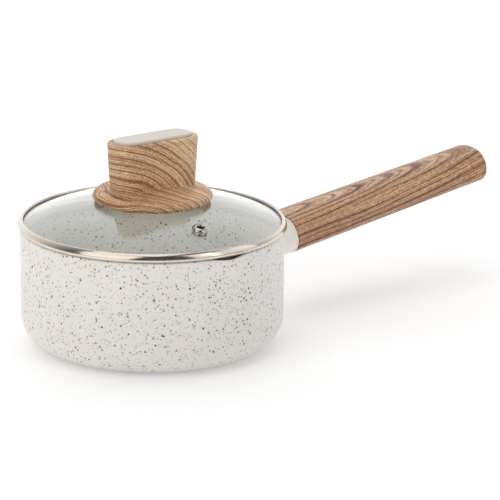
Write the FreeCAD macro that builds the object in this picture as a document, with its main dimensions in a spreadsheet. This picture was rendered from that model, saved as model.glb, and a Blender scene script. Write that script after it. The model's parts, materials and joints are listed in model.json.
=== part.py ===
import FreeCAD, Part
import math
import os
from types import SimpleNamespace

import Sketcher
from FreeCAD import Rotation, Vector

# A saucepan with a glass lid, in millimetres.
# The origin is the centre of the base on the resting face, +Z is up, the handle points along +X,
# and the two pouring spouts face -Y and +Y.
# The handle's pieces are drawn along their own X axis, which starts on the pot's axis and rises
# with the handle. The vent's pieces are drawn along their own Z axis, square to the glass.

SHEET = "sizes"

SIZES = (
    # alias, value, what it is
    ("pot_radius", 82.5, "outside of the straight wall"),
    ("pot_wall", 2.5, "thickness of the wall"),
    ("pot_floor", 4.0, "thickness of the base"),
    ("base_round", 20.0, "outside rounding between base and wall"),
    ("rim_height", 74.5, "height of the rim, where the lid rests"),
    ("rim_round", 0.7, "rounding of the rim's two edges"),
    ("spout_reach", 3.2, "how far a spout stands out of the wall"),
    ("spout_radius", 17.0, "radius of a spout's lip"),
    ("spout_root", 6.0, "radius of a spout where it leaves the wall"),
    ("spout_depth", 17.0, "how far below the rim a spout begins"),
    ("spout_dip", 1.3, "how far the rim sinks at a spout"),
    ("spout_half", 11.0, "half width of the sunk rim"),
    ("spout_inset", 0.3, "how far a spout's root lies behind the wall's face"),
    ("plate_radius", 55.0, "induction disc"),
    ("plate_thick", 0.8, "thickness of the induction disc"),
    ("plate_gap", 0.1, "gap round the induction disc"),
    ("plate_hole", 2.5, "radius of a hole in the induction disc"),
    ("axis_height", 39.5, "where the handle's axis meets the pot's axis"),
    ("handle_tilt", 8.5, "rise of the handle in degrees"),
    ("grip_start", 102.4, "from the pot's axis to the grip, along the handle"),
    ("grip_end", 263.3, "from the pot's axis to the grip's far end"),
    ("grip_half_wide", 18.4, "half width of the grip at its root"),
    ("grip_half_tall", 12.6, "half height of the grip at its root"),
    ("grip_side", 11.8, "radius of the grip's sides at its root"),
    ("grip_taper", 0.92, "far end's section over the root's section"),
    ("grip_dome", 73.0, "radius of the slightly domed far end"),
    ("dome_reach", 25.0, "how far from the axis the far end is trimmed"),
    ("grip_edge", 2.7, "rounding of the far end's edge"),
    ("guard_inset", 0.7, "step from the grip down to the flame guard"),
    ("guard_lip", 1.2, "width of the flame guard's raised lip"),
    ("guard_sheet", 1.2, "thickness of the flame guard"),
    ("guard_end", 102.0, "from the pot's axis to the flame guard's end"),
    ("guard_start", 74.5, "where the flame guard would begin if the wall didn't cut it off"),
    ("guard_flare", 0.6, "how far the flame guard widens towards the wall"),
    ("guard_step", 0.15, "step from the raised lip up to the grip"),
    ("edge_break", 0.4, "small rounding or bevel of an edge"),
    ("stud_flange", 10.0, "radius of the stud's welded foot"),
    ("stud_foot_end", 88.0, "end of the welded foot"),
    ("stud_shank", 7.0, "radius of the stud's shank"),
    ("stud_end", 122.0, "end of the stud's shank"),
    ("stud_flat", 5.5, "half thickness over the shank's two flats"),
    ("stud_root", 80.5, "where the stud would begin if the wall didn't cut it off"),
    ("stud_gap", 0.5, "gap past the end of the stud's shank"),
    ("fit_gap", 0.1, "radial gap of a piece in its seat"),
    ("wall_gap", 0.05, "gap between the wall and what is fitted to it"),
    ("cut_past", 5.0, "how far a cut runs past the face that it opens"),
    ("thread_radius", 2.5, "handle screw and knob screw"),
    ("thread_depth", 18.0, "length of the screw in the stud"),
    ("drill_past", 3.0, "how far the tapped hole goes past the screw"),
    ("screw_seat", 238.0, "where the handle screw's washers sit"),
    ("seat_bore", 6.4, "radius of the bore over the screw's head"),
    ("screw_bore", 3.0, "radius of the bore round the handle screw"),
    ("screw_head", 4.4, "radius of the handle screw's head"),
    ("screw_head_tall", 4.0, "height of the handle screw's head"),
    ("socket_across", 4.0, "hexagon socket, across flats"),
    ("socket_deep", 2.5, "depth of the hexagon socket"),
    ("washer_radius", 6.0, "flat washer"),
    ("washer_thick", 1.0, "thickness of the flat washer"),
    ("spring_radius", 4.4, "spring washer"),
    ("spring_thick", 1.3, "thickness of the spring washer"),
    ("spring_gap", 1.0, "width of the spring washer's split"),
    ("plug_start", 253.3, "inner end of the end plug"),
    ("plug_wall", 1.4, "thickness of the end plug's skirt"),
    ("plug_face", 2.0, "thickness of the end plug's face"),
    ("plug_sunk", 0.4, "how far the end plug sits below the far end"),
    ("band_radius", 84.0, "outside of the lid's steel band"),
    ("band_sheet", 0.5, "thickness of the steel sheet"),
    ("band_foot", 0.8, "rounding at the bottom of the band"),
    ("band_lift", 0.9, "how far the band's outer edge stays above the rim"),
    ("band_seat", 82.0, "outer radius of the flat seat on the rim"),
    ("band_bow", 5.2, "radius of the band's bulged face"),
    ("bow_end", 82.15, "radius where the bulged face meets the lip"),
    ("bow_end_height", 80.15, "height where the bulged face meets the lip"),
    ("lip_round", 0.9, "rounding of the lip"),
    ("lip_start", 79.5, "height where the lip turns down"),
    ("band_lip", 80.7, "inner radius of the lip on the glass"),
    ("lip_foot", 78.9, "height of the lip's inner edge"),
    ("lip_slope", 0.15, "fall of the lip's edge over its thickness"),
    ("skirt_radius", 79.3, "outside of the skirt inside the pot"),
    ("skirt_bottom", 67.5, "height of the skirt's lower edge"),
    ("skirt_bend", 0.8, "bend between the band's seat and its skirt"),
    ("hem_tall", 1.5, "height of the hem at the skirt's lower edge"),
    ("glass_top", 95.0, "top of the dome"),
    ("glass_edge", 83.0, "radius of the glass"),
    ("glass_edge_top", 77.6, "height of the glass at its edge"),
    ("glass_thick", 2.8, "thickness of the glass"),
    ("glass_bevel", 1.2, "bevel of the glass edge's lower corner"),
    ("knob_hole", 4.5, "radius of the hole under the knob"),
    ("vent_place", 58.5, "from the lid's axis to the vent"),
    ("vent_turn", 5.0, "degrees from -Y to the vent, about the lid's axis"),
    ("vent_hole", 3.6, "radius of the vent's hole in the glass"),
    ("vent_bore", 2.1, "radius of the steam hole"),
    ("vent_sheet", 0.5, "thickness of the eyelet"),
    ("vent_flange", 5.1, "outer radius of the eyelet"),
    ("vent_rise", 2.2, "height of the eyelet over its seal"),
    ("vent_crown", 1.2, "width of the eyelet's round crown"),
    ("vent_crown_round", 1.3, "radius of the crown's inner side"),
    ("vent_collar_round", 2.4, "radius of the crown's outer side"),
    ("vent_curl", 0.9, "width of the eyelet's curled lower edge"),
    ("vent_seal_thick", 0.5, "seal under the eyelet"),
    ("vent_seal_inset", 0.4, "how far the seal's collar lies under the eyelet"),
    ("dome_gap", 0.06, "gap between a flat collar and the domed glass"),
    ("vent_washer_radius", 5.0, "backing washer of the eyelet"),
    ("flange_radius", 37.5, "knob's round flange"),
    ("flange_bottom", 92.7, "lower edge of the flange"),
    ("flange_belly", 94.4, "height of the flange's widest place"),
    ("flange_round", 4.0, "rounding at the top of the flange"),
    ("shoulder_in", 3.4, "how far the rounding draws the flange in"),
    ("shoulder_up", 3.9, "how far the rounding rises"),
    ("flange_top", 102.3, "top of the flange under the grip"),
    ("flange_wall", 2.6, "thickness of the flange"),
    ("flange_draw", 1.0, "how far the flange draws in below its widest place"),
    ("ceiling_in", 4.0, "width of the slope under the flange's edge"),
    ("notch_half", 1.2, "half width of a notch under the flange"),
    ("notch_tall", 1.1, "height of a notch under the flange"),
    ("boss_radius", 8.5, "boss under the knob"),
    ("boss_bottom", 96.0, "lower face of the boss"),
    ("knob_top", 131.2, "top of the knob's grip"),
    ("knob_half_long", 30.2, "half length of the grip at its top"),
    ("knob_half_wide", 12.8, "half width of the grip at its top"),
    ("knob_corner", 10.0, "corner radius of the grip at its top"),
    ("knob_waist", 1.8, "how far the grip draws in at its foot"),
    ("knob_root", 3.6, "how far the grip's foot reaches down into the flange"),
    ("knob_floor", 1.0, "what is left of the flange under the grip's foot"),
    ("knob_fillet", 1.6, "rounding between grip and flange"),
    ("knob_edge", 1.0, "rounding of the grip's top edge"),
    ("inlay_half_long", 27.0, "half length of the inlay"),
    ("inlay_half_wide", 9.4, "half width of the inlay"),
    ("inlay_corner", 8.8, "corner radius of the inlay"),
    ("inlay_proud", 1.8, "how far the inlay stands out of the knob"),
    ("inlay_deep", 3.0, "depth of the inlay's seat"),
    ("inlay_edge", 1.4, "rounding of the inlay's edge"),
    ("clip_place", 14.0, "from the knob's axis to an inlay clip"),
    ("clip_radius", 2.5, "radius of an inlay clip"),
    ("clip_long", 8.0, "length of an inlay clip"),
    ("clip_gap", 1.0, "room past the end of an inlay clip"),
    ("insert_radius", 4.5, "knob's threaded insert"),
    ("insert_long", 12.0, "length of the threaded insert"),
    ("insert_groove", 0.5, "depth of the groove round the insert"),
    ("knob_screw_long", 15.0, "length of the knob screw under its head"),
    ("knob_screw_head", 4.6, "radius of the knob screw's head"),
    ("knob_screw_head_tall", 2.6, "height of the knob screw's head"),
    ("head_round", 1.4, "rounding of the knob screw's head"),
    ("screw_point", 0.8, "bevel at the knob screw's end"),
    ("slot_half", 0.6, "half width of the slots in the knob screw's head"),
    ("slot_half_long", 2.6, "half length of the slots in the knob screw's head"),
    ("slot_deep", 1.5, "depth of the slots in the knob screw's head"),
    ("knob_washer_radius", 10.0, "steel washer under the glass"),
    ("knob_washer_thick", 1.0, "thickness of the steel washer"),
    ("gasket_radius", 9.0, "silicone gaskets"),
    ("gasket_thick", 1.0, "thickness of a silicone gasket"),
    ("gasket_gap", 0.2, "gap between the dome's underside and the lower gasket"),
    ("gasket_bore", 2.7, "radius of the hole in washers and gaskets"),
)

PLATE_RINGS = ((16.0, 8), (30.0, 16), (44.0, 24))
SIDES = (-1, 1)
TOUCH = 0.05
CUTTER_HALF = 100.0
DRILL_HALF = 10.0

doc = FreeCAD.newDocument("saucepan")
pieces = []


class Size:
    """A size that knows its value and the sheet expression behind it."""

    def __init__(self, value, text):
        self.value = value
        self.text = text

    def join(self, sign, other, value):
        return Size(value, "({} {} {})".format(self.text, sign, other.text))

    def __add__(self, other):
        other = size(other)
        return self.join("+", other, self.value + other.value)

    def __sub__(self, other):
        other = size(other)
        return self.join("-", other, self.value - other.value)

    def __mul__(self, other):
        other = size(other)
        return self.join("*", other, self.value * other.value)

    def __truediv__(self, other):
        other = size(other)
        return self.join("/", other, self.value / other.value)

    def __neg__(self):
        return self * -1

    def root(self):
        return Size(math.sqrt(self.value), "sqrt({})".format(self.text))


def size(item):
    """A plain number as a Size."""
    return item if isinstance(item, Size) else Size(float(item), "({})".format(float(item)))


def make_sheet():
    """The spreadsheet of driving dimensions, and the same sizes by name."""
    sheet = doc.addObject("Spreadsheet::Sheet", SHEET)
    named = {}
    for row, (alias, value, note) in enumerate(SIZES, start=1):
        sheet.set("A{}".format(row), alias)
        sheet.set("B{}".format(row), str(value))
        sheet.set("C{}".format(row), note)
        sheet.setAlias("B{}".format(row), alias)
        named[alias] = Size(value, "{}.{}".format(SHEET, alias))
    doc.recompute()
    return SimpleNamespace(**named)


d = make_sheet()

# Sizes that follow from the sheet.
pot_inside = d.pot_radius - d.pot_wall
inside_round = d.base_round - d.pot_wall
dome_fall = d.glass_top - d.glass_edge_top
dome_radius = (d.glass_edge * d.glass_edge + dome_fall * dome_fall) / (dome_fall * 2)
dome_centre = d.glass_top - dome_radius
vent_height = dome_centre + (dome_radius * dome_radius - d.vent_place * d.vent_place).root()
vent_turn = math.radians(d.vent_turn.value)
vent_side = d.vent_place * Size(math.sin(vent_turn), "sin({})".format(d.vent_turn.text))
vent_ahead = d.vent_place * Size(math.cos(vent_turn), "cos({})".format(d.vent_turn.text))
vent_tilt = Size(
    math.degrees(math.asin(d.vent_place.value / dome_radius.value)),
    "asin({} / {})".format(d.vent_place.text, dome_radius.text),
)
glass_under = d.glass_top - d.glass_thick
gasket_top = glass_under - d.gasket_gap
knob_washer_top = gasket_top - d.gasket_thick
knob_screw_seat = knob_washer_top - d.knob_washer_thick


# Drawing helpers


def new_body(label):
    body = doc.addObject("PartDesign::Body", label)
    body.Label = label
    pieces.append(body)
    return body


def along_handle(body):
    """Stand a body on the handle's rising axis."""
    lean = Rotation(Vector(0, -1, 0), d.handle_tilt.value)
    body.Placement = FreeCAD.Placement(Vector(0, 0, d.axis_height.value), lean)
    body.setExpression("Placement.Base.z", d.axis_height.text)
    body.setExpression("Placement.Rotation.Angle", d.handle_tilt.text)
    return body


def vent_placement():
    """The place on top of the glass at the vent, square to the dome."""
    middle = Vector(-vent_side.value, -vent_ahead.value, vent_height.value)
    level = Vector(math.cos(vent_turn), -math.sin(vent_turn), 0)
    return FreeCAD.Placement(middle, Rotation(level, vent_tilt.value))


def on_vent(body):
    """Stand a body on the glass at the vent."""
    body.Placement = vent_placement()
    body.setExpression("Placement.Base.x", (-vent_side).text)
    body.setExpression("Placement.Base.y", (-vent_ahead).text)
    body.setExpression("Placement.Base.z", vent_height.text)
    body.setExpression("Placement.Rotation.Angle", vent_tilt.text)
    return body


def new_sketch(body, plane, lift=None):
    """A sketch on one of the body's origin planes, moved along the plane's normal."""
    sketch = body.newObject("Sketcher::SketchObject", body.Label + "_sketch")
    support = [item for item in body.Origin.OriginFeatures if item.Role == plane]
    sketch.AttachmentSupport = [(support[0], "")]
    sketch.MapMode = "FlatFace"
    if lift is not None:
        sketch.setExpression("AttachmentOffset.Base.z", lift.text)
    return sketch


def fix_point(sketch, geometry, end, x, y):
    """Hold a point of the sketch at (x, y)."""
    for value, kind, axis in ((size(x), "DistanceX", -2), (size(y), "DistanceY", -1)):
        if value.value == 0:
            sketch.addConstraint(Sketcher.Constraint("PointOnObject", geometry, end, axis))
        else:
            index = sketch.addConstraint(Sketcher.Constraint(kind, -1, 1, geometry, end, value.value))
            sketch.setExpression("Constraints[{}]".format(index), value.text)


def fix_radius(sketch, geometry, radius):
    index = sketch.addConstraint(Sketcher.Constraint("Radius", geometry, radius.value))
    sketch.setExpression("Constraints[{}]".format(index), radius.text)


def arc_between(start, finish, radius, left):
    """The minor arc from start to finish that turns left or right."""
    chord = finish - start
    normal = Vector(-chord.y, chord.x, 0).normalize()
    reach = math.sqrt(max(radius * radius - chord.Length * chord.Length / 4, 0))
    centre = (start + finish) * 0.5 + normal * (reach if left else -reach)
    first, last = (start, finish) if left else (finish, start)
    turn_first = math.atan2(first.y - centre.y, first.x - centre.x)
    turn_last = math.atan2(last.y - centre.y, last.x - centre.x)
    if turn_last < turn_first:
        turn_last += 2 * math.pi
    return Part.ArcOfCircle(Part.Circle(centre, Vector(0, 0, 1), radius), turn_first, turn_last)


def outline(sketch, corners):
    """A closed loop through (x, y) corners. A corner may add the radius and the side of the arc
    that leaves it: (x, y, radius, "left") or (x, y, radius, "right")."""
    points = [Vector(size(corner[0]).value, size(corner[1]).value, 0) for corner in corners]
    ends = []
    for index, corner in enumerate(corners):
        start = points[index]
        finish = points[(index + 1) % len(points)]
        if len(corner) == 2:
            geometry = sketch.addGeometry(Part.LineSegment(start, finish))
            ends.append((geometry, 1, 2))
        else:
            left = corner[3] == "left"
            geometry = sketch.addGeometry(arc_between(start, finish, corner[2].value, left))
            ends.append((geometry, 1, 2) if left else (geometry, 2, 1))
    for index, corner in enumerate(corners):
        geometry, start_end, finish_end = ends[index]
        next_geometry, next_start, next_finish = ends[(index + 1) % len(ends)]
        meet = Sketcher.Constraint("Coincident", geometry, finish_end, next_geometry, next_start)
        sketch.addConstraint(meet)
        fix_point(sketch, geometry, start_end, corner[0], corner[1])
        if len(corner) > 2:
            fix_radius(sketch, geometry, corner[2])
    return sketch


def circle(sketch, x, y, radius):
    geometry = sketch.addGeometry(
        Part.Circle(Vector(size(x).value, size(y).value, 0), Vector(0, 0, 1), radius.value)
    )
    fix_point(sketch, geometry, 3, x, y)
    fix_radius(sketch, geometry, radius)
    return sketch


def rounded_box(sketch, half_x, half_y, corner):
    """A rectangle about the sketch's origin with round corners."""
    flat_x = half_x - corner
    flat_y = half_y - corner
    return outline(
        sketch,
        (
            (-flat_x, -half_y),
            (flat_x, -half_y, corner, "left"),
            (half_x, -flat_y),
            (half_x, flat_y, corner, "left"),
            (flat_x, half_y),
            (-flat_x, half_y, corner, "left"),
            (-half_x, flat_y),
            (-half_x, -flat_y, corner, "left"),
        ),
    )


def oval(sketch, half_x, half_y, side):
    """Four tangent arcs: two sides of radius `side`, and a flatter crown above and below."""
    across = half_x - side
    crown = (across * across + half_y * half_y - side * side) / ((half_y - side) * 2)
    meet_x = across + side * across / (crown - side)
    meet_y = side * (crown - half_y) / (crown - side)
    return outline(
        sketch,
        (
            (meet_x, -meet_y, side, "left"),
            (meet_x, meet_y, crown, "left"),
            (-meet_x, meet_y, side, "left"),
            (-meet_x, -meet_y, crown, "left"),
        ),
    )


def feature(body, kind, **settings):
    made = body.newObject("PartDesign::" + kind, body.Label + "_" + kind.lower())
    for name, value in settings.items():
        setattr(made, name, value)
    body.Tip = made
    return made


def turned(body, sketch, axis="V_Axis"):
    return feature(body, "Revolution", Profile=sketch, ReferenceAxis=(sketch, [axis]), Angle=360)


def turned_out(body, sketch, axis="V_Axis"):
    """Cut a full turn of the sketch out of the body."""
    return feature(body, "Groove", Profile=sketch, ReferenceAxis=(sketch, [axis]), Angle=360)


def lofted(body, kind, first, last):
    return feature(body, kind, Profile=first, Sections=[last])


def pocket(body, sketch, depth, sides="One side", reverse=False):
    made = feature(body, "Pocket", Profile=sketch, SideType=sides, Reversed=reverse)
    made.setExpression("Length", depth.text)
    return made


def rounded(body, wanted, radius):
    """Round the edges of the body's present shape for which wanted(edge) holds."""
    doc.recompute()
    tip = body.Tip
    names = ["Edge{}".format(i) for i, edge in enumerate(tip.Shape.Edges, start=1) if wanted(edge)]
    made = feature(body, "Fillet", Base=(tip, names))
    made.setExpression("Radius", radius.text)
    return made


def tube(label, inner, outer, low, high, place=None, axis="V_Axis"):
    """A round piece with a bore, turned about its own Z axis or, for H_Axis, its own X axis."""
    body = new_body(label)
    if place is not None:
        place(body)
    corners = ((inner, low), (outer, low), (outer, high), (inner, high))
    if axis == "H_Axis":
        corners = tuple((along, across) for across, along in corners)
    turned(body, outline(new_sketch(body, "XZ_Plane"), corners), axis)
    return body


# The pan


def make_pot_body():
    """A pressed pot: straight wall, large bottom rounding, and a spout on each side."""
    body = new_body("pot_body")
    outside = outline(
        new_sketch(body, "XZ_Plane"),
        (
            (0, d.plate_thick),
            (d.plate_radius + d.plate_gap, d.plate_thick),
            (d.plate_radius + d.plate_gap, 0),
            (d.pot_radius - d.base_round, 0, d.base_round, "left"),
            (d.pot_radius, d.base_round),
            (d.pot_radius, d.rim_height),
            (0, d.rim_height),
        ),
    )
    turned(body, outside)
    root_height = d.rim_height - d.spout_depth
    for side in SIDES:
        root_place = (d.pot_radius - d.spout_root - d.spout_inset) * side
        lip_place = (d.pot_radius + d.spout_reach - d.spout_radius) * side
        root = circle(new_sketch(body, "XY_Plane", root_height), 0, root_place, d.spout_root)
        lip = circle(new_sketch(body, "XY_Plane", d.rim_height), 0, lip_place, d.spout_radius)
        lofted(body, "AdditiveLoft", root, lip)
    cavity = outline(
        new_sketch(body, "XZ_Plane"),
        (
            (0, d.pot_floor),
            (pot_inside - inside_round, d.pot_floor, inside_round, "left"),
            (pot_inside, d.pot_floor + inside_round),
            (pot_inside, d.rim_height + d.cut_past),
            (0, d.rim_height + d.cut_past),
        ),
    )
    turned_out(body, cavity)
    for side in SIDES:
        root_place = (pot_inside - d.spout_root - d.spout_inset) * side
        lip_place = (d.pot_radius + d.spout_reach - d.spout_radius) * side
        root = circle(new_sketch(body, "XY_Plane", root_height), 0, root_place, d.spout_root)
        lip = circle(
            new_sketch(body, "XY_Plane", d.rim_height), 0, lip_place, d.spout_radius - d.pot_wall
        )
        lofted(body, "SubtractiveLoft", root, lip)
    rounded(body, lambda edge: edge.BoundBox.ZMin > d.rim_height.value - TOUCH, d.rim_round)
    dip_radius = (d.spout_half * d.spout_half + d.spout_dip * d.spout_dip) / (d.spout_dip * 2)
    dip = outline(
        new_sketch(body, "XZ_Plane"),
        (
            (-d.spout_half, d.rim_height, dip_radius, "left"),
            (d.spout_half, d.rim_height),
            (d.spout_half, d.rim_height + d.cut_past),
            (-d.spout_half, d.rim_height + d.cut_past),
        ),
    )
    pocket(body, dip, d.pot_radius * 3, sides="Symmetric")
    return body


def make_base_plate():
    """A steel disc with rings of holes, pressed flush into the base for induction hobs."""
    body = new_body("base_plate")
    disc = circle(new_sketch(body, "XY_Plane"), 0, 0, d.plate_radius)
    plate = feature(body, "Pad", Profile=disc)
    plate.setExpression("Length", d.plate_thick.text)
    for reach, count in PLATE_RINGS:
        hole = circle(new_sketch(body, "XY_Plane"), size(reach), 0, d.plate_hole)
        cut = pocket(body, hole, d.plate_thick, reverse=True)
        doc.recompute()
        ring = feature(body, "PolarPattern", Originals=[cut], Angle=360, Occurrences=count)
        ring.Axis = (hole, ["N_Axis"])
    return body


def cut_to_wall(body):
    """Shape a handle piece's inner end to the round wall of the pot."""
    cutter = feature(body, "SubtractiveCylinder", Height=CUTTER_HALF * 2)
    cutter.setExpression("Radius", (d.pot_radius + d.wall_gap).text)
    lean = Rotation(Vector(0, 1, 0), d.handle_tilt.value)
    cutter.Placement = FreeCAD.Placement(lean.multVec(Vector(0, 0, -CUTTER_HALF)), lean)
    return cutter


def make_handle_stud():
    """A stud welded to the wall: a round foot, and a shank with two flats and a tapped hole."""
    body = along_handle(new_body("handle_stud"))
    profile = outline(
        new_sketch(body, "XZ_Plane"),
        (
            (d.stud_root, 0),
            (d.stud_end, 0),
            (d.stud_end, d.stud_shank),
            (d.stud_foot_end, d.stud_shank),
            (d.stud_foot_end, d.stud_flange),
            (d.stud_root, d.stud_flange),
        ),
    )
    turned(body, profile, "H_Axis")
    cut_to_wall(body)
    for side in SIDES:
        flat = outline(
            new_sketch(body, "XZ_Plane"),
            (
                (d.stud_foot_end, d.stud_flat * side),
                (d.stud_end + d.cut_past, d.stud_flat * side),
                (d.stud_end + d.cut_past, d.stud_flange * side),
                (d.stud_foot_end, d.stud_flange * side),
            )[::side],
        )
        pocket(body, flat, d.stud_flange * 3, sides="Symmetric")
    thread_end = d.stud_end - d.thread_depth - d.drill_past
    tapped = outline(
        new_sketch(body, "XZ_Plane"),
        (
            (thread_end, 0),
            (d.stud_end + d.cut_past, 0),
            (d.stud_end + d.cut_past, d.thread_radius),
            (thread_end, d.thread_radius),
        ),
    )
    turned_out(body, tapped, "H_Axis")
    return body


def make_flame_guard():
    """An oval sleeve from the wall to the grip, with a raised lip and a closed outer end."""
    body = along_handle(new_body("flame_guard"))
    wide = d.grip_half_wide - d.guard_inset
    tall = d.grip_half_tall - d.guard_inset
    side = d.grip_side - d.guard_inset
    flare = d.guard_flare
    lip_start = d.guard_end - d.guard_lip
    lofted(
        body,
        "AdditiveLoft",
        oval(new_sketch(body, "YZ_Plane", d.guard_start), wide + flare, tall + flare, side + flare),
        oval(new_sketch(body, "YZ_Plane", lip_start), wide, tall, side),
    )
    raised = d.guard_inset - d.guard_step
    lip = oval(new_sketch(body, "YZ_Plane", lip_start), wide + raised, tall + raised, side + raised)
    made = feature(body, "Pad", Profile=lip)
    made.setExpression("Length", d.guard_lip.text)
    rounded(body, lambda edge: edge.BoundBox.XMin > d.guard_end.value - TOUCH, d.edge_break)
    sheet = d.guard_sheet
    hollow = oval(new_sketch(body, "YZ_Plane", d.guard_start), wide - sheet, tall - sheet, side - sheet)
    floor = oval(
        new_sketch(body, "YZ_Plane", d.guard_end - sheet * 2), wide - sheet, tall - sheet, side - sheet
    )
    lofted(body, "SubtractiveLoft", hollow, floor)
    passage = outline(
        new_sketch(body, "XZ_Plane"),
        (
            (d.guard_end - sheet * 3, 0),
            (d.guard_end + d.cut_past, 0),
            (d.guard_end + d.cut_past, d.stud_shank + d.fit_gap),
            (d.guard_end - sheet * 3, d.stud_shank + d.fit_gap),
        ),
    )
    turned_out(body, passage, "H_Axis")
    cut_to_wall(body)
    return body


def make_handle_grip():
    """The long oval grip, with a socket for the stud and a stepped bore for its screw."""
    body = along_handle(new_body("handle_grip"))
    taper = d.grip_taper
    lofted(
        body,
        "AdditiveLoft",
        oval(new_sketch(body, "YZ_Plane", d.grip_start), d.grip_half_wide, d.grip_half_tall, d.grip_side),
        oval(
            new_sketch(body, "YZ_Plane", d.grip_end),
            d.grip_half_wide * taper,
            d.grip_half_tall * taper,
            d.grip_side * taper,
        ),
    )
    bore = outline(
        new_sketch(body, "XZ_Plane"),
        (
            (d.grip_start - d.cut_past, 0),
            (d.grip_end + d.cut_past, 0),
            (d.grip_end + d.cut_past, d.seat_bore),
            (d.screw_seat, d.seat_bore),
            (d.screw_seat, d.screw_bore),
            (d.stud_end + d.stud_gap, d.screw_bore),
            (d.stud_end + d.stud_gap, d.stud_shank + d.fit_gap),
            (d.grip_start - d.cut_past, d.stud_shank + d.fit_gap),
        ),
    )
    turned_out(body, bore, "H_Axis")
    beyond = d.dome_reach
    dome_drop = d.grip_dome - (d.grip_dome * d.grip_dome - beyond * beyond).root()
    trim = outline(
        new_sketch(body, "XZ_Plane"),
        (
            (d.grip_end, 0),
            (d.grip_end + d.cut_past, 0),
            (d.grip_end + d.cut_past, beyond),
            (d.grip_end - dome_drop, beyond, d.grip_dome, "right"),
        ),
    )
    turned_out(body, trim, "H_Axis")

    def clear_of(edge, radius):
        nearest = min(math.hypot(vertex.Point.y, vertex.Point.z) for vertex in edge.Vertexes)
        return nearest > radius.value + TOUCH

    def outer_end(edge):
        at_end = edge.BoundBox.XMin > (d.grip_end - dome_drop).value
        return at_end and clear_of(edge, d.seat_bore)

    def outer_root(edge):
        at_root = edge.BoundBox.XMax < d.grip_start.value + TOUCH
        return at_root and clear_of(edge, d.stud_shank + d.fit_gap)

    rounded(body, outer_end, d.grip_edge)
    rounded(body, outer_root, d.edge_break)
    return body


def make_handle_screw():
    """The long screw that pulls the grip onto the stud, with a hexagon socket."""
    body = along_handle(new_body("handle_screw"))
    head_start = d.screw_seat + d.washer_thick + d.spring_thick
    head_end = head_start + d.screw_head_tall
    profile = outline(
        new_sketch(body, "XZ_Plane"),
        (
            (d.stud_end - d.thread_depth, 0),
            (head_end, 0),
            (head_end, d.screw_head),
            (head_start, d.screw_head),
            (head_start, d.thread_radius),
            (d.stud_end - d.thread_depth, d.thread_radius),
        ),
    )
    turned(body, profile, "H_Axis")
    corner = d.socket_across / size(3).root()
    half = d.socket_across / 2
    socket = outline(
        new_sketch(body, "YZ_Plane", head_end),
        (
            (corner, 0),
            (corner / 2, half),
            (-corner / 2, half),
            (-corner, 0),
            (-corner / 2, -half),
            (corner / 2, -half),
        ),
    )
    pocket(body, socket, d.socket_deep)
    return body


def make_spring_washer():
    """A split lock washer under the screw's head."""
    start = d.screw_seat + d.washer_thick
    body = tube(
        "spring_washer", d.gasket_bore, d.spring_radius, start, start + d.spring_thick, along_handle, "H_Axis"
    )
    split = outline(
        new_sketch(body, "YZ_Plane", start),
        (
            (-d.spring_gap / 2, 0),
            (d.spring_gap / 2, 0),
            (d.spring_gap / 2, d.spring_radius + d.cut_past),
            (-d.spring_gap / 2, d.spring_radius + d.cut_past),
        ),
    )
    pocket(body, split, d.spring_thick, reverse=True)
    return body


def make_end_plug():
    """A cup-shaped plug that closes the bore at the far end."""
    body = along_handle(new_body("end_plug"))
    outer = d.seat_bore - d.fit_gap / 2
    face = d.grip_end - d.plug_sunk
    profile = outline(
        new_sketch(body, "XZ_Plane"),
        (
            (face - d.plug_face, 0),
            (face, 0),
            (face, outer - d.edge_break),
            (face - d.edge_break, outer),
            (d.plug_start, outer),
            (d.plug_start, outer - d.plug_wall),
            (face - d.plug_face, outer - d.plug_wall),
        ),
    )
    turned(body, profile, "H_Axis")
    return body


# The lid


def make_rim_band():
    """A bent steel band: lip on the glass, bulged face, seat on the rim, and a hemmed skirt."""
    body = new_body("rim_band")
    sheet = d.band_sheet
    seat = d.rim_height
    foot = seat + d.band_lift
    face = foot + d.band_foot
    bow_centre = d.band_radius - d.band_bow
    thinner = (d.band_bow - sheet) / d.band_bow
    bow_inside = bow_centre + (d.bow_end - bow_centre) * thinner
    bow_inside_height = face + (d.bow_end_height - face) * thinner
    profile = outline(
        new_sketch(body, "XZ_Plane"),
        (
            (d.skirt_radius - sheet * 2, d.skirt_bottom),
            (d.skirt_radius, d.skirt_bottom),
            (d.skirt_radius, seat - d.skirt_bend, d.skirt_bend, "right"),
            (d.skirt_radius + d.skirt_bend, seat),
            (d.band_seat, seat),
            (d.band_radius - d.band_foot, foot, d.band_foot, "left"),
            (d.band_radius, face, d.band_bow, "left"),
            (d.bow_end, d.bow_end_height, d.lip_round, "left"),
            (d.band_lip, d.lip_start),
            (d.band_lip, d.lip_foot),
            (d.band_lip + sheet, d.lip_foot - d.lip_slope),
            (d.band_lip + sheet, d.lip_start, d.lip_round - sheet, "right"),
            (bow_inside, bow_inside_height, d.band_bow - sheet, "right"),
            (d.band_radius - sheet, face, d.band_foot - sheet, "right"),
            (d.band_radius - d.band_foot, foot + sheet),
            (d.band_seat, seat + sheet),
            (d.skirt_radius + d.skirt_bend, seat + sheet, d.skirt_bend + sheet, "left"),
            (d.skirt_radius - sheet, seat - d.skirt_bend),
            (d.skirt_radius - sheet, d.skirt_bottom + d.hem_tall),
            (d.skirt_radius - sheet * 2, d.skirt_bottom + d.hem_tall),
        ),
    )
    turned(body, profile)
    return body


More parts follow.
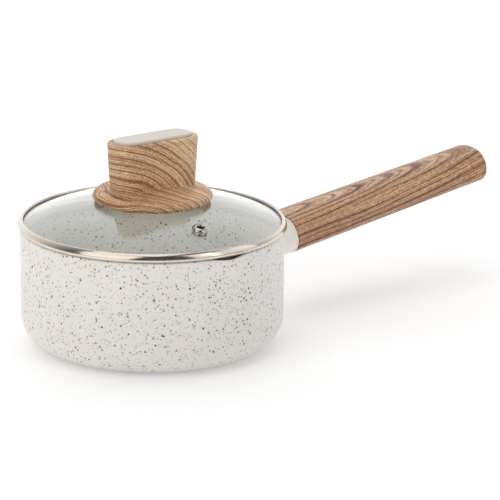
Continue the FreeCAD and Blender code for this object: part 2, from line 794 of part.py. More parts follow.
def make_glass_dome():
    """A dome of even thickness with a hole for the knob and a hole for the vent."""
    body = new_body("glass_dome")
    hole = d.knob_hole
    hole_top = dome_centre + (dome_radius * dome_radius - hole * hole).root()
    bevel = d.glass_edge - d.glass_bevel
    bevel_top = dome_centre + (dome_radius * dome_radius - bevel * bevel).root()
    profile = outline(
        new_sketch(body, "XZ_Plane"),
        (
            (hole, hole_top - d.glass_thick),
            (hole, hole_top, dome_radius, "right"),
            (d.glass_edge, d.glass_edge_top),
            (d.glass_edge, d.glass_edge_top - d.glass_thick + d.glass_bevel),
            (bevel, bevel_top - d.glass_thick, dome_radius, "left"),
        ),
    )
    turned(body, profile)
    drill = feature(body, "SubtractiveCylinder", Height=DRILL_HALF * 2)
    drill.setExpression("Radius", d.vent_hole.text)
    below = FreeCAD.Placement(Vector(0, 0, -DRILL_HALF), Rotation())
    drill.Placement = vent_placement() * below
    return body


def make_vent_eyelet():
    """A rolled steel eyelet: a rounded collar over the glass and a stem curled out below."""
    body = on_vent(new_body("vent_eyelet"))
    sheet = d.vent_sheet
    stem = d.vent_bore + sheet
    low = d.vent_seal_thick
    top = low + d.vent_rise
    crown = d.vent_bore + d.vent_crown
    curl = -d.glass_thick - d.vent_seal_thick - sheet * 2
    profile = outline(
        new_sketch(body, "XZ_Plane"),
        (
            (d.vent_bore, curl),
            (stem + d.vent_curl, curl),
            (stem + d.vent_curl, curl + sheet),
            (stem, curl + sheet),
            (stem, low),
            (d.vent_flange, low),
            (d.vent_flange, low + sheet, d.vent_collar_round, "left"),
            (crown, top, d.vent_crown_round, "left"),
            (d.vent_bore, top - d.vent_crown_round),
        ),
    )
    turned(body, profile)
    return body


def make_vent_seal():
    """A soft sleeve with a collar, between the eyelet and the glass."""
    body = on_vent(new_body("vent_seal"))
    inner = d.vent_bore + d.vent_sheet
    outer = d.vent_hole - d.fit_gap / 2
    collar = d.vent_flange - d.vent_seal_inset
    profile = outline(
        new_sketch(body, "XZ_Plane"),
        (
            (inner, -d.glass_thick),
            (outer, -d.glass_thick),
            (outer, d.dome_gap),
            (collar, d.dome_gap),
            (collar, d.vent_seal_thick),
            (inner, d.vent_seal_thick),
        ),
    )
    turned(body, profile)
    return body


def make_vent_washer():
    """The backing washer under the glass, which the eyelet's stem is curled over."""
    top = -d.glass_thick - d.fit_gap
    return tube(
        "vent_washer",
        d.vent_bore + d.vent_sheet,
        d.vent_washer_radius,
        top - d.vent_sheet,
        top,
        on_vent,
    )


def make_knob_body():
    """The knob: a hollow round flange, a flared oblong grip, and a boss for the insert."""
    body = new_body("knob_body")
    shoulder = d.flange_radius - d.shoulder_in
    shoulder_top = d.flange_belly + d.shoulder_up
    inner = d.flange_radius - d.flange_wall - d.flange_draw
    foot = d.flange_top - d.knob_root
    flange = outline(
        new_sketch(body, "XZ_Plane"),
        (
            (0, d.boss_bottom),
            (d.boss_radius, d.boss_bottom),
            (d.boss_radius, foot - d.knob_floor),
            (inner - d.ceiling_in, shoulder_top - d.flange_wall),
            (inner, d.flange_belly),
            (inner, d.flange_bottom),
            (d.flange_radius - d.flange_draw, d.flange_bottom),
            (d.flange_radius, d.flange_belly, d.flange_round, "left"),
            (shoulder, shoulder_top),
            (d.boss_radius, d.flange_top),
            (0, d.flange_top),
        ),
    )
    turned(body, flange)
    waist_long = d.knob_half_long - d.knob_waist
    waist_wide = d.knob_half_wide - d.knob_waist
    waist = new_sketch(body, "XY_Plane", foot)
    rounded_box(waist, waist_long, waist_wide, d.knob_corner - d.knob_waist)
    top = new_sketch(body, "XY_Plane", d.knob_top)
    rounded_box(top, d.knob_half_long, d.knob_half_wide, d.knob_corner)
    lofted(body, "AdditiveLoft", waist, top)

    def grip_foot(edge):
        reach = min(math.hypot(vertex.Point.x, vertex.Point.y) for vertex in edge.Vertexes)
        box = edge.BoundBox
        on_flange = box.ZMin > shoulder_top.value + TOUCH and box.ZMax < d.flange_top.value + TOUCH
        return on_flange and reach > d.boss_radius.value + TOUCH

    rounded(body, grip_foot, d.knob_fillet)
    rounded(body, lambda edge: edge.BoundBox.ZMin > d.knob_top.value - TOUCH, d.knob_edge)
    seat = rounded_box(
        new_sketch(body, "XY_Plane", d.knob_top),
        d.inlay_half_long + d.fit_gap,
        d.inlay_half_wide + d.fit_gap,
        d.inlay_corner + d.fit_gap,
    )
    pocket(body, seat, d.inlay_deep)
    for side in SIDES:
        hole = new_sketch(body, "XY_Plane", d.knob_top)
        circle(hole, d.clip_place * side, 0, d.clip_radius + d.fit_gap)
        pocket(body, hole, d.inlay_deep + d.clip_long + d.clip_gap)
    bore = outline(
        new_sketch(body, "XZ_Plane"),
        (
            (0, d.boss_bottom - d.cut_past),
            (d.insert_radius, d.boss_bottom - d.cut_past),
            (d.insert_radius, d.boss_bottom + d.insert_long),
            (d.screw_bore, d.boss_bottom + d.insert_long),
            (d.screw_bore, d.boss_bottom + d.knob_screw_long),
            (0, d.boss_bottom + d.knob_screw_long),
        ),
    )
    turned_out(body, bore)
    for plane in ("XZ_Plane", "YZ_Plane"):
        notch = outline(
            new_sketch(body, plane),
            (
                (-d.notch_half, d.flange_bottom - d.cut_past),
                (d.notch_half, d.flange_bottom - d.cut_past),
                (d.notch_half, d.flange_bottom + d.notch_tall),
                (-d.notch_half, d.flange_bottom + d.notch_tall),
            ),
        )
        pocket(body, notch, d.flange_radius * 3, sides="Symmetric")
    return body


def make_knob_inlay():
    """The smooth inlay in the top of the knob, with two round clips below."""
    body = new_body("knob_inlay")
    low = d.knob_top - d.inlay_deep
    slab = new_sketch(body, "XY_Plane", low)
    rounded_box(slab, d.inlay_half_long, d.inlay_half_wide, d.inlay_corner)
    made = feature(body, "Pad", Profile=slab)
    made.setExpression("Length", (d.inlay_deep + d.inlay_proud).text)
    top = d.knob_top.value + d.inlay_proud.value
    rounded(body, lambda edge: edge.BoundBox.ZMin > top - TOUCH, d.inlay_edge)
    for side in SIDES:
        clip = circle(new_sketch(body, "XY_Plane", low), d.clip_place * side, 0, d.clip_radius)
        made = feature(body, "Pad", Profile=clip, Reversed=True)
        made.setExpression("Length", d.clip_long.text)
    return body


def make_knob_insert():
    """A threaded insert with a groove that locks it in the knob."""
    body = new_body("knob_insert")
    top = d.boss_bottom + d.insert_long
    groove_low = d.boss_bottom + d.insert_long / 3
    groove_high = d.boss_bottom + d.insert_long * 2 / 3
    groove = d.insert_radius - d.insert_groove
    profile = outline(
        new_sketch(body, "XZ_Plane"),
        (
            (d.thread_radius, d.boss_bottom),
            (d.insert_radius, d.boss_bottom),
            (d.insert_radius, groove_low),
            (groove, groove_low),
            (groove, groove_high),
            (d.insert_radius, groove_high),
            (d.insert_radius, top),
            (d.thread_radius, top),
        ),
    )
    turned(body, profile)
    return body


def make_knob_screw():
    """The pan-head screw that holds the knob from under the glass, with a cross recess."""
    body = new_body("knob_screw")
    seat = knob_screw_seat
    head_low = seat - d.knob_screw_head_tall
    end = seat + d.knob_screw_long
    profile = outline(
        new_sketch(body, "XZ_Plane"),
        (
            (0, head_low),
            (d.knob_screw_head - d.head_round, head_low, d.head_round, "left"),
            (d.knob_screw_head, head_low + d.head_round),
            (d.knob_screw_head, seat),
            (d.thread_radius, seat),
            (d.thread_radius, end - d.screw_point),
            (d.thread_radius - d.screw_point, end),
            (0, end),
        ),
    )
    turned(body, profile)
    for half_x, half_y in ((d.slot_half_long, d.slot_half), (d.slot_half, d.slot_half_long)):
        slot = outline(
            new_sketch(body, "XY_Plane", head_low),
            ((-half_x, -half_y), (half_x, -half_y), (half_x, half_y), (-half_x, half_y)),
        )
        pocket(body, slot, d.slot_deep, reverse=True)
    return body


def check_and_export():
    """Stop on any failed object or bad solid, then write one STEP file for each piece."""
    doc.recompute()
    for item in doc.Objects:
        if "Invalid" in item.State or "Error" in item.State:
            raise RuntimeError("{} failed: {}".format(item.Label, item.State))
    os.makedirs("parts", exist_ok=True)
    for body in pieces:
        shape = body.Shape
        if shape.isNull() or not shape.isValid() or len(shape.Solids) != 1:
            raise RuntimeError("{} is not one valid solid".format(body.Label))
        print("{:16s} {:10.1f} mm3".format(body.Label, shape.Volume))
        shape.exportStep(os.path.join("parts", body.Label + ".step"))


make_pot_body()
make_base_plate()
make_handle_stud()
make_flame_guard()
make_handle_grip()
make_handle_screw()
tube(
    "screw_washer",
    d.gasket_bore,
    d.washer_radius,
    d.screw_seat,
    d.screw_seat + d.washer_thick,
    along_handle,
    "H_Axis",
)
make_spring_washer()
make_end_plug()
make_rim_band()
make_glass_dome()
make_vent_eyelet()
make_vent_seal()
make_vent_washer()
make_knob_body()
make_knob_inlay()
make_knob_insert()
make_knob_screw()
tube("knob_washer", d.gasket_bore, d.knob_washer_radius, knob_screw_seat, knob_washer_top)
tube("lower_gasket", d.gasket_bore, d.gasket_radius, knob_washer_top, gasket_top)
tube("upper_gasket", d.gasket_bore, d.gasket_radius, d.glass_top, d.boss_bottom)
check_and_export()
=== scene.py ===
import json
import math

import bmesh
import bpy
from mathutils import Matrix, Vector


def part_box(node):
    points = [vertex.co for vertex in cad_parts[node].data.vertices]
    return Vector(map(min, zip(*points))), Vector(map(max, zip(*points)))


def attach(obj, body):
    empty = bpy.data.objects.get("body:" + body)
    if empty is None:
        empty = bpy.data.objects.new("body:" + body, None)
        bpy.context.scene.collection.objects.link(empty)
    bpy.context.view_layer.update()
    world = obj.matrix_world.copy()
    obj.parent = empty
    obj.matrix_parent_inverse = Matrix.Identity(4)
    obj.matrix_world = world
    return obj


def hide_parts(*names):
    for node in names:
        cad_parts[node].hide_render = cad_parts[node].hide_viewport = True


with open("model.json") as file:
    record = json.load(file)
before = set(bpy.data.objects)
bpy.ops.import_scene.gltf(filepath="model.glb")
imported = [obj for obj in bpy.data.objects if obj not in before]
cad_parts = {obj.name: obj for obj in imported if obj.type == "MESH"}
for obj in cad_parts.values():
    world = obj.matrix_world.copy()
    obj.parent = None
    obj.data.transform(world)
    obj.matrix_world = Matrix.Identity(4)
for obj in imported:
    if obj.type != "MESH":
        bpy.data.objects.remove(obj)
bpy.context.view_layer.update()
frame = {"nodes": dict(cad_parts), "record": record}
nodes = frame["nodes"]

MM = 0.001

# Where the pot's pieces are, read from the frame.
PAN = "pan"
POT_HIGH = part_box("pot_body")[1]
PLATE_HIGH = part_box("base_plate")[1]
RIM_HEIGHT = POT_HIGH.z
POT_RADIUS = POT_HIGH.x

# The pot's section, in metres.
WALL = 2.5 * MM
FLOOR = 4.0 * MM
BASE_ROUND = 20 * MM
RIM_ROUND = 0.9 * MM
PLATE_SEAT = PLATE_HIGH.x + 0.1 * MM

# The pouring spouts.
SPOUT_REACH = POT_HIGH.y - POT_RADIUS - 0.1 * MM
SPOUT_DIP = 1.1 * MM
SPOUT_HALF_ANGLE = math.radians(12.5)
SPOUT_DEPTH = 18 * MM
DIP_DEPTH = 7 * MM
SPOUT_FLARE = 1.4
SPOUT_OVERLAP = 1 * MM

# How finely the pot is turned.
SEGMENTS = 512
SMOOTH_BELOW = math.radians(40)
FLOOR_RING = 30 * MM

# The handle's rising axis.
HANDLE_TILT = math.radians(8.5)
HANDLE_HEIGHT = 39.5 * MM

# The camera.
CAMERA_AZIMUTH = math.radians(34.6)
CAMERA_DISTANCE = 2.0
CAMERA_HEIGHT = 0.6444
CAMERA_YAW = 0.0305
CAMERA_PITCH = 0.2845
CAMERA_ROLL = 0.0114
CAMERA_LENS = 239.75
SENSOR_WIDTH = 36
CLIP_START = 0.01

# The middle part of a noise texture's output, which carries nearly all of its pattern.
NOISE_LOW = 0.3
NOISE_HIGH = 0.7

# Specks: how their outline wobbles, their sizes against the layer's radius, and their edge.
SPECK_WOBBLE = 0.35 * MM
SPECK_SMALLEST = 0.6
SPECK_LARGEST = 1.15
SPECK_EDGE = 0.78
SPECK_FAINTEST = 0.5
LAYER_SHIFT = (0.137, 0.071, 0.219)

# Growth rings: how fast their spacing and strength change, per ring, and the shade across one.
SPACING_CHANGE = 0.45
SPACING_SHIFT = 1.7
STRENGTH_CHANGE = 1.1
STRENGTH_SEED = 3.7
FAINT_RING = 0.45
RING_SEED = 5.3
RING_SHADES = ((0.0, 0.0), (0.12, 0.15), (0.26, 0.8), (0.6, 1.0), (0.84, 0.72), (0.98, 0.05))

# Wood: each set of rings as (spacing against the coarse one, weight), then fibres and pores.
RING_SETS = ((1, 0.38), (0.37, 0.28), (0.16, 0.18))
FIBRE_SCALE = 1100
FIBRE_DRIFT = 26
FIBRE_WEIGHT = 0.22
PORE_SCALE = 900
PORE_WEIGHT = 0.19


# Building materials from nodes


class Tree:
    """One material with a Principled shader, and short calls for the nodes that feed it."""

    def __init__(self, name):
        self.material = bpy.data.materials.new(name)
        self.material.use_nodes = True
        self.tree = self.material.node_tree
        self.tree.nodes.clear()
        self.output = self.tree.nodes.new("ShaderNodeOutputMaterial")
        self.shader = self.tree.nodes.new("ShaderNodeBsdfPrincipled")
        self.tree.links.new(self.shader.outputs[0], self.output.inputs[0])

    def feed(self, socket, value):
        """Link another node's output to a socket, or set the socket's own value."""
        if isinstance(value, bpy.types.NodeSocket):
            self.tree.links.new(value, socket)
        elif socket.type == "RGBA" and len(value) == 3:
            socket.default_value = (*value, 1.0)
        else:
            socket.default_value = value

    def set(self, **sockets):
        """Feed sockets of the Principled shader, named with underscores for spaces."""
        for name, value in sockets.items():
            self.feed(self.shader.inputs[name.replace("_", " ")], value)
        return self

    def node(self, kind, inputs=(), **settings):
        """Add a shader node, with values or links for its inputs."""
        made = self.tree.nodes.new("ShaderNode" + kind)
        for name, value in settings.items():
            setattr(made, name, value)
        for name, value in dict(inputs).items():
            self.feed(made.inputs[name], value)
        return made

    def place(self):
        """The point in the part's frame, in metres."""
        return self.node("TexCoord").outputs["Object"]

    def math(self, operation, *values, clamp=False):
        """One step of arithmetic."""
        made = self.node("Math", dict(enumerate(values)), operation=operation, use_clamp=clamp)
        return made.outputs[0]

    def length(self, first, second):
        """The length of the hypotenuse over two sides."""
        squares = [self.math("MULTIPLY", side, side) for side in (first, second)]
        return self.math("SQRT", self.math("ADD", *squares))

    def split(self, vector):
        """The three parts of a vector."""
        return self.node("SeparateXYZ", {0: vector}).outputs

    def join(self, x, y, z):
        """A vector from three parts."""
        return self.node("CombineXYZ", {0: x, 1: y, 2: z}).outputs[0]

    def scaled(self, vector, scale):
        return self.node("VectorMath", {0: vector, 1: scale}, operation="MULTIPLY").outputs[0]

    def added(self, vector, other):
        return self.node("VectorMath", {0: vector, 1: other}, operation="ADD").outputs[0]

    def noise(self, vector, scale, detail=2.0, rough=0.5, kind="Fac"):
        """Noise at vector, with scale given per metre."""
        settings = {"Vector": vector, "Scale": scale, "Detail": detail, "Roughness": rough}
        return self.node("TexNoise", settings).outputs[kind]

    def band(self, value, low, high, to_low=0.0, to_high=1.0):
        """A smooth step of value from low to high."""
        made = self.node(
            "MapRange",
            {"Value": value, "From Min": low, "From Max": high, "To Min": to_low, "To Max": to_high},
            interpolation_type="SMOOTHSTEP",
        )
        return made.outputs[0]

    def spread(self, noise, low=0.0, high=1.0):
        """A noise's middle part, spread from low to high."""
        return self.band(noise, NOISE_LOW, NOISE_HIGH, low, high)

    def mix(self, share, first, second):
        """Mix two colours."""
        made = self.node("Mix", data_type="RGBA")
        self.feed(made.inputs[0], share)
        self.feed(made.inputs[6], first)
        self.feed(made.inputs[7], second)
        return made.outputs[2]

    def ramp(self, value, stops):
        """A colour for value, from (place, colour) stops."""
        made = self.node("ValToRGB", {0: value})
        points = made.color_ramp.elements
        while len(points) < len(stops):
            points.new(0.5)
        for point, (position, colour) in zip(points, stops):
            point.position = position
            point.color = (*colour, 1.0)
        return made.outputs[0]

    def bump(self, height, distance, strength):
        """A normal that follows a height pattern."""
        made = self.node("Bump", {"Height": height, "Distance": distance, "Strength": strength})
        return made.outputs[0]


def srgb(red, green, blue):
    """A linear colour from 0-255 display values."""
    def linear(value):
        value /= 255
        return value / 12.92 if value <= 0.04045 else ((value + 0.055) / 1.055) ** 2.4
    return (linear(red), linear(green), linear(blue))


# The materials


def specks(t, place, cell, radius, share, seed):
    """A mask of small uneven dots: at most one per cell, and a share of the cells has one."""
    shifted = t.added(place, tuple(seed * shift for shift in LAYER_SHIFT))
    wobble = t.noise(shifted, 1600, detail=1.0, kind="Color")
    moved = t.added(shifted, t.scaled(wobble, (SPECK_WOBBLE,) * 3))
    cells = t.node("TexVoronoi", {"Vector": moved, "Scale": 1 / cell})
    random = t.node("SeparateColor", {0: cells.outputs["Color"]}).outputs
    size = t.band(random[1], 0, 1, SPECK_SMALLEST * radius / cell, SPECK_LARGEST * radius / cell)
    dot = t.band(cells.outputs["Distance"], size, t.math("MULTIPLY", size, SPECK_EDGE))
    shown = t.math("LESS_THAN", random[0], share)
    depth = t.band(random[2], 0, 1, SPECK_FAINTEST, 1.0)
    return t.math("MULTIPLY", t.math("MULTIPLY", dot, shown), depth)


def coating():
    """Off-white stone-effect coating with dark, terracotta and faint grey and pink specks."""
    t = Tree("stone_coating")
    place = t.place()
    cloud = t.noise(place, 60, detail=3.0)
    colour = t.mix(cloud, srgb(230, 227, 222), srgb(237, 234, 230))
    layers = (
        # cell, radius, share, colour, strength
        (1.6 * MM, 0.40 * MM, 0.8, srgb(190, 184, 182), 0.7),
        (1.7 * MM, 0.40 * MM, 0.8, srgb(210, 172, 158), 0.7),
        (2.2 * MM, 0.50 * MM, 0.8, srgb(140, 134, 132), 0.8),
        (2.3 * MM, 0.54 * MM, 0.8, srgb(200, 132, 108), 0.85),
        (3.3 * MM, 0.70 * MM, 0.8, srgb(188, 96, 68), 1.0),
        (3.2 * MM, 0.72 * MM, 0.85, srgb(52, 44, 46), 1.0),
    )
    for seed, (cell, radius, share, tint, strength) in enumerate(layers, start=1):
        mask = t.math("MULTIPLY", specks(t, place, cell, radius, share, seed), strength)
        colour = t.mix(mask, colour, tint)
    fine = t.noise(place, 1500)
    t.set(
        Base_Color=colour,
        Roughness=t.spread(t.noise(place, 400), 0.34, 0.44),
        Specular_IOR_Level=0.5,
        Normal=t.bump(fine, 0.02 * MM, 0.5),
    )
    return t.material


def rings(t, reach, drift, spacing, seed):
    """Growth rings along reach, 1 in the light wood and 0 on each dark line; drift varies them."""
    slow_place = t.join(t.math("MULTIPLY", reach, SPACING_CHANGE / spacing), drift, seed)
    slow = t.noise(slow_place, 1.0, detail=1.0)
    phase = t.math("ADD", t.math("DIVIDE", reach, spacing), t.math("MULTIPLY", slow, SPACING_SHIFT))
    greys = [(place, (shade,) * 3) for place, shade in RING_SHADES]
    shade = t.ramp(t.math("FRACT", phase), greys)
    bold_place = t.join(t.math("MULTIPLY", reach, STRENGTH_CHANGE / spacing), drift, seed + STRENGTH_SEED)
    bold = t.noise(bold_place, 1.0, detail=1.0)
    return t.math("ADD", shade, t.band(bold, 0.6, 0.4, 0.0, FAINT_RING), clamp=True)


def wood(t, reach, drift, coarse, tone, shades, rough):
    """Wood effect from a ring distance: coarse, middle and fine rings, fibres and small pores."""
    value = tone
    for seed, (share, weight) in enumerate(RING_SETS, start=1):
        pattern = rings(t, reach, drift, coarse * share, seed * RING_SEED)
        value = t.math("ADD", t.math("MULTIPLY", pattern, weight), value)
    fibre_place = t.join(t.math("MULTIPLY", reach, FIBRE_SCALE), t.math("MULTIPLY", drift, FIBRE_DRIFT), 0.0)
    fibre = t.noise(fibre_place, 1.0, detail=3.0, rough=0.7)
    pores = t.noise(t.place(), PORE_SCALE, detail=3.0, rough=0.8)
    value = t.math("ADD", value, t.spread(fibre, 0.0, FIBRE_WEIGHT))
    value = t.math("ADD", value, t.band(pores, 0.35, 0.65, 0.0, PORE_WEIGHT))
    t.set(
        Base_Color=t.ramp(value, shades),
        Roughness=t.spread(fibre, rough - 0.05, rough + 0.05),
        Normal=t.bump(value, 0.05 * MM, 0.35),
    )
    return t.material


def handle_wood():
    """Wood effect of the handle: long nested arches on top that point to the far end, with painted shade
    that darkens its lower sides and underside.
    """
    arch_start = 102 * MM
    arch_depth = 6.4 * MM
    arch_slope = 0.095
    arch_width = 0.84
    sway_width = 6 * MM
    ripple_depth = 0.6 * MM
    t = Tree("handle_grain")
    turn = t.node(
        "VectorRotate",
        {"Vector": t.place(), "Center": (0, 0, HANDLE_HEIGHT), "Axis": (0, 1, 0), "Angle": HANDLE_TILT},
        rotation_type="AXIS_ANGLE",
    ).outputs[0]
    along, across, up = t.split(turn)
    sway = t.noise(t.scaled(turn, (14, 20, 20)), 1.0, detail=1.0)
    ripple = t.noise(t.scaled(turn, (90, 420, 420)), 1.0, detail=2.0)
    lift = t.math("SUBTRACT", up, HANDLE_HEIGHT)
    swayed = t.math("ADD", across, t.math("MULTIPLY", t.math("SUBTRACT", sway, 0.5), sway_width))
    thick = t.length(across, lift)
    around = t.math("MULTIPLY", t.math("ARCTAN2", swayed, lift), t.math("MULTIPLY", thick, arch_width))
    past = t.math("SUBTRACT", along, arch_start)
    deep = t.math("ADD", arch_depth, t.math("MULTIPLY", past, arch_slope))
    reach = t.math("ADD", t.length(around, deep), t.math("MULTIPLY", ripple, ripple_depth))
    # Painted shade: the whole handle is darkened a little, and its lower sides and underside more, by
    # distance round the section from its top.
    tone = t.band(t.math("ABSOLUTE", around), 19 * MM, 30 * MM, -0.19, -0.34)
    shades = (
        (0.18, srgb(62, 28, 18)),
        (0.44, srgb(126, 78, 50)),
        (0.66, srgb(172, 126, 88)),
        (0.92, srgb(222, 187, 148)),
    )
    return wood(t, reach, t.math("MULTIPLY", along, 9), 2.9 * MM, tone, shades, 0.44)


def knob_wood():
    """Wood effect of the knob: arcs that start level at one end and sweep down to the other."""
    centre_x = -33 * MM
    centre_z = 72 * MM
    grip_half = 12.5 * MM
    flange_top = 101 * MM
    flange_pull = 0.25
    warp_depth = 5 * MM
    ripple_depth = 0.5 * MM
    t = Tree("knob_grain")
    x, y, z = t.split(t.place())
    warp = t.noise(t.scaled(t.place(), (40, 40, 40)), 1.0, detail=1.0)
    ripple = t.noise(t.scaled(t.place(), (220, 220, 220)), 1.0)
    east = t.math("SUBTRACT", x, centre_x)
    north = t.math("SUBTRACT", z, centre_z)
    angle = t.math("ARCTAN2", east, north)
    outward = t.math("MAXIMUM", t.math("SUBTRACT", t.math("ABSOLUTE", y), grip_half), 0.0)
    below = t.math("MAXIMUM", t.math("SUBTRACT", flange_top, z), 0.0)
    pull = t.math("MULTIPLY", t.math("ADD", outward, below), flange_pull)
    reach = t.math("SUBTRACT", t.length(east, north), pull)
    reach = t.math("ADD", reach, t.math("MULTIPLY", warp, warp_depth))
    reach = t.math("ADD", reach, t.math("MULTIPLY", ripple, ripple_depth))
    lengthwise = t.band(x, -20 * MM, 28 * MM, -0.22, -0.1)
    tone = t.math("ADD", lengthwise, t.band(z, flange_top, 107 * MM, -0.05, 0.0))
    shades = (
        (0.18, srgb(92, 48, 26)),
        (0.44, srgb(146, 96, 58)),
        (0.66, srgb(184, 139, 97)),
        (0.92, srgb(234, 206, 168)),
    )
    return wood(t, reach, t.math("MULTIPLY", angle, 0.6), 4.2 * MM, tone, shades, 0.5)


def cream(name, colour, rough):
    """Smooth cream plastic or coating with a faint unevenness."""
    t = Tree(name)
    place = t.place()
    cloud = t.noise(place, 90)
    darker = tuple(0.95 * part for part in colour)
    t.set(
        Base_Color=t.mix(cloud, colour, darker),
        Roughness=t.spread(t.noise(place, 700), rough - 0.04, rough + 0.04),
        Normal=t.bump(t.noise(place, 1800), 0.01 * MM, 0.4),
    )
    return t.material


def metal(name, colour, rough):
    """Bare metal with fine marks."""
    t = Tree(name)
    marks = t.noise(t.place(), 900, detail=3.0)
    darker = tuple(0.86 * part for part in colour)
    t.set(
        Base_Color=t.mix(t.spread(marks), darker, colour),
        Metallic=1.0,
        Roughness=t.spread(marks, rough - 0.05, rough + 0.05),
        Normal=t.bump(marks, 0.01 * MM, 0.3),
    )
    return t.material


def band_steel():
    """Polished stainless steel with faint lines that run round the rim."""
    t = Tree("polished_steel")
    x, y, z = t.split(t.place())
    turn = t.math("ARCTAN2", x, y)
    line_place = t.scaled(t.join(t.length(x, y), turn, z), (2600, 2, 2600))
    lines = t.noise(line_place, 1.0, detail=3.0)
    cloud = t.noise(t.place(), 120)
    wear = t.math("ADD", t.math("MULTIPLY", lines, 0.6), t.math("MULTIPLY", cloud, 0.4))
    t.set(
        Base_Color=t.mix(t.spread(lines), srgb(198, 189, 178), srgb(214, 206, 195)),
        Metallic=1.0,
        Roughness=t.spread(wear, 0.12, 0.22),
        Normal=t.bump(lines, 0.006 * MM, 0.35),
    )
    return t.material


def lid_glass():
    """Clear toughened glass with a faint tint, which lets lamps through."""
    t = Tree("toughened_glass")
    wave = t.noise(t.place(), 25, detail=1.0)
    t.set(
        Base_Color=(0.93, 0.955, 0.94),
        Roughness=0.0,
        IOR=1.5,
        Transmission_Weight=1.0,
        Normal=t.bump(wave, 0.05 * MM, 0.15),
    )
    clear = t.node("BsdfTransparent", {"Color": (0.9, 0.92, 0.91)})
    shadow = t.node("LightPath").outputs["Is Shadow Ray"]
    pane = t.node("MixShader", {0: shadow, 1: t.shader.outputs[0], 2: clear.outputs[0]})
    t.feed(t.output.inputs[0], pane.outputs[0])
    return t.material


def silicone():
    """Cloudy silicone."""
    t = Tree("clear_silicone")
    place = t.place()
    t.set(
        Base_Color=t.mix(t.noise(place, 500), srgb(206, 206, 202), srgb(220, 220, 216)),
        Roughness=t.spread(t.noise(place, 900), 0.45, 0.6),
        Subsurface_Weight=0.2,
        Subsurface_Radius=(2 * MM,) * 3,
    )
    return t.material


# The pot, with smoothly pressed spouts


def arc(centre, radius, first, last, count):
    """Points of an arc in the section plane, from one angle in degrees to another."""
    made = []
    for step in range(count + 1):
        angle = math.radians(first + (last - first) * step / count)
        made.append((centre[0] + radius * math.cos(angle), centre[1] + radius * math.sin(angle)))
    return made


def climb(radius, low, high, count):
    """Points between two heights on a straight wall, without its ends."""
    return [(radius, low + (high - low) * step / count) for step in range(1, count)]


def smooth_step(value):
    """Rise smoothly from 0 to 1 as value does."""
    value = min(max(value, 0.0), 1.0)
    return value * value * (3 - 2 * value)


def press_spouts(radius, height, angle):
    """Move a point of the plain pot to where the two pressed spouts put it."""
    away = min(abs(math.remainder(angle - side * math.pi / 2, 2 * math.pi)) for side in (-1, 1))
    if away < SPOUT_HALF_ANGLE:
        swell = math.cos(math.pi / 2 * away / SPOUT_HALF_ANGLE) ** 2
        rise = smooth_step((height - RIM_HEIGHT + SPOUT_DEPTH) / SPOUT_DEPTH)
        sink = smooth_step((height - RIM_HEIGHT + DIP_DEPTH) / DIP_DEPTH)
        radius += SPOUT_REACH * swell * rise ** SPOUT_FLARE
        height -= SPOUT_DIP * swell ** SPOUT_FLARE * sink
    return radius, height


def pot_section():
    """The pot's closed section from the axis below to the axis inside, as (radius, height)."""
    inside = POT_RADIUS - WALL
    inner_round = BASE_ROUND - WALL
    spout_foot = RIM_HEIGHT - SPOUT_DEPTH
    spout_start = spout_foot - SPOUT_OVERLAP
    round_foot = RIM_HEIGHT - RIM_ROUND
    points = [(0, PLATE_HIGH.z), (PLATE_SEAT, PLATE_HIGH.z), (PLATE_SEAT, 0)]
    points += arc((POT_RADIUS - BASE_ROUND, BASE_ROUND), BASE_ROUND, -90, 0, 22)
    points += climb(POT_RADIUS, BASE_ROUND, spout_foot, 8)
    points += climb(POT_RADIUS, spout_start, round_foot, 20)
    points += arc((POT_RADIUS - RIM_ROUND, round_foot), RIM_ROUND, 0, 90, 5)
    points += arc((inside + RIM_ROUND, round_foot), RIM_ROUND, 90, 180, 5)
    points += climb(inside, round_foot, spout_start, 20)
    points += climb(inside, spout_foot, FLOOR + inner_round, 6)
    points += arc((inside - inner_round, FLOOR + inner_round), inner_round, 0, -90, 16)
    points += [(FLOOR_RING, FLOOR), (0, FLOOR)]
    return points


def lathe(name, section, segments, shape):
    """Turn a section about Z, move each point by shape, and close it at the axis."""
    mesh = bmesh.new()
    rows = []
    for radius, height in section:
        if radius == 0:
            rows.append([mesh.verts.new((0, 0, height))])
            continue
        row = []
        for step in range(segments):
            angle = 2 * math.pi * step / segments
            reach, level = shape(radius, height, angle)
            row.append(mesh.verts.new((reach * math.cos(angle), reach * math.sin(angle), level)))
        rows.append(row)
    for low, high in zip(rows, rows[1:]):
        for step in range(segments):
            after = (step + 1) % segments
            places = ((low, step), (low, after), (high, after), (high, step))
            corners = [ring[place % len(ring)] for ring, place in places]
            mesh.faces.new(list(dict.fromkeys(corners)))
    bmesh.ops.recalc_face_normals(mesh, faces=mesh.faces)
    data = bpy.data.meshes.new(name)
    mesh.to_mesh(data)
    mesh.free()
    data.shade_smooth()
    data.set_sharp_from_angle(angle=SMOOTH_BELOW)
    made = bpy.data.objects.new(name, data)
    bpy.context.scene.collection.objects.link(made)
    return made


def make_pot():
    """The pot with smooth spouts, in place of the plain CAD one."""
    pot = lathe("pot_shell", pot_section(), SEGMENTS, press_spouts)
    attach(pot, PAN)
    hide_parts("pot_body")
    return pot


# The studio

LAMP_TARGET = (0.03, 0, 0.05)
FLOOR_SIZE = 8
# How the surround's brightness rises from behind the camera to behind the object.
SURROUND = {"From Min": -0.45, "From Max": 0.95, "To Min": 0.08, "To Max": 1.3}


def aim(thing, target):
    """Turn a lamp or camera so that it looks at target."""
    thing.rotation_euler = (Vector(target) - thing.location).to_track_quat("-Z", "Y").to_euler()


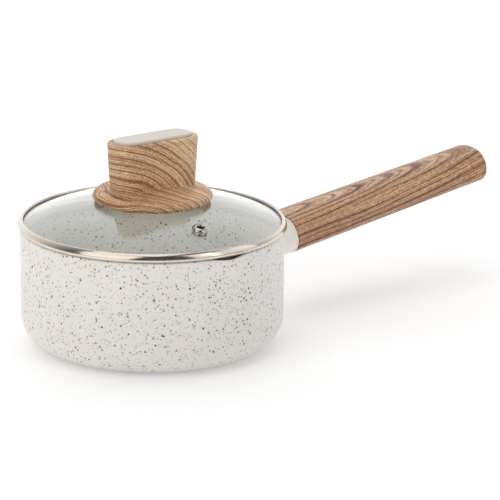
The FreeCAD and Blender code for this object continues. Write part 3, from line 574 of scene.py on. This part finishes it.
def softbox(name, place, size, power, colour=(1, 1, 1), diffuse=True):
    """A large soft lamp; without diffuse it shows only as a reflection."""
    lamp = bpy.data.lights.new(name, "AREA")
    lamp.shape = "RECTANGLE"
    lamp.size, lamp.size_y = size
    lamp.energy = power
    lamp.color = colour
    box = bpy.data.objects.new(name, lamp)
    bpy.context.scene.collection.objects.link(box)
    box.location = place
    aim(box, LAMP_TARGET)
    box.visible_camera = False
    box.visible_diffuse = diffuse


def make_floor():
    """A pale floor that glows, weakly near the object and more strongly away from it."""
    mesh = bmesh.new()
    bmesh.ops.create_grid(mesh, x_segments=1, y_segments=1, size=FLOOR_SIZE)
    data = bpy.data.meshes.new("floor")
    mesh.to_mesh(data)
    mesh.free()
    floor = bpy.data.objects.new("floor", data)
    bpy.context.scene.collection.objects.link(floor)
    t = Tree("floor_white")
    far = t.node("VectorMath", {0: t.place()}, operation="LENGTH").outputs["Value"]
    t.set(Base_Color=(0.9, 0.9, 0.9), Roughness=0.9, Specular_IOR_Level=0.1)
    # Painted glow: the floor gives off light of its own, from 0.2 near the object up to 0.55 far away.
    t.set(Emission_Color=(1, 1, 1), Emission_Strength=t.band(far, 0.12, 0.8, 0.2, 0.55))
    data.materials.append(t.material)


def make_world():
    """A soft surround that is bright behind the object and darker behind the camera."""
    world = bpy.data.worlds.new("studio")
    bpy.context.scene.world = world
    world.use_nodes = True
    tree = world.node_tree
    back = tree.nodes["Background"]
    place = tree.nodes.new("ShaderNodeTexCoord")
    facing = tree.nodes.new("ShaderNodeVectorMath")
    facing.operation = "DOT_PRODUCT"
    facing.inputs[1].default_value = (math.sin(CAMERA_AZIMUTH), math.cos(CAMERA_AZIMUTH), 0)
    tree.links.new(place.outputs["Generated"], facing.inputs[0])
    glow = tree.nodes.new("ShaderNodeMapRange")
    glow.interpolation_type = "SMOOTHSTEP"
    for name, value in SURROUND.items():
        glow.inputs[name].default_value = value
    tree.links.new(facing.outputs["Value"], glow.inputs["Value"])
    tree.links.new(glow.outputs["Result"], back.inputs["Strength"])
    back.inputs["Color"].default_value = (1.0, 1.0, 1.0, 1.0)


def make_camera():
    """The scene's camera, which looks slightly down on the pan."""
    data = bpy.data.cameras.new("camera")
    camera = bpy.data.objects.new("camera", data)
    bpy.context.scene.collection.objects.link(camera)
    sine, cosine = math.sin(CAMERA_AZIMUTH), math.cos(CAMERA_AZIMUTH)
    camera.location = (-CAMERA_DISTANCE * sine, -CAMERA_DISTANCE * cosine, CAMERA_HEIGHT)
    heading = CAMERA_AZIMUTH + CAMERA_YAW
    level = math.cos(CAMERA_PITCH)
    look = Vector((math.sin(heading) * level, math.cos(heading) * level, -math.sin(CAMERA_PITCH)))
    aim(camera, camera.location + look)
    camera.rotation_euler.rotate_axis("Z", CAMERA_ROLL)
    data.sensor_width = SENSOR_WIDTH
    data.lens = CAMERA_LENS
    data.clip_start = CLIP_START
    bpy.context.scene.camera = camera


def dress_nodes(finishes):
    """Give each CAD node the finish of its material slot."""
    for row in frame["record"]["subparts"]:
        data = nodes[row["node"]].data
        data.materials.clear()
        data.materials.append(finishes[row["material_slot"]])


finishes = {
    "speckled_coating": coating(),
    "plain_steel": metal("turned_steel", srgb(205, 204, 202), 0.32),
    "stud_metal": metal("cast_metal", srgb(200, 200, 198), 0.42),
    "cream_coating": cream("cream_enamel", srgb(250, 245, 233), 0.33),
    "handle_wood_effect": handle_wood(),
    "plug_plastic": cream("brown_plastic", srgb(120, 84, 62), 0.5),
    "band_steel": band_steel(),
    "lid_glass": lid_glass(),
    "eyelet_steel": metal("bright_steel", srgb(176, 171, 165), 0.14),
    "silicone": silicone(),
    "knob_wood_effect": knob_wood(),
    "cream_inlay": cream("cream_plastic", srgb(210, 202, 192), 0.38),
    "insert_brass": metal("turned_brass", srgb(214, 176, 106), 0.28),
}
dress_nodes(finishes)
pot = make_pot()
pot.data.materials.append(finishes["speckled_coating"])

make_floor()
make_world()
make_camera()
softbox("key", (-1.54, -0.43, 0.95), (1.5, 1.8), 12.3, (1.0, 0.985, 0.965))
softbox("fill", (0.38, -1.66, 1.05), (0.8, 1.7), 5.2, (0.98, 0.99, 1.0))
softbox("top", (-0.2, -0.1, 1.7), (1.4, 1.4), 8)
softbox("card", (1.10, -1.29, 0.95), (1.6, 1.7), 7.6, diffuse=False)
bpy.context.scene.view_settings.view_transform = "Standard"
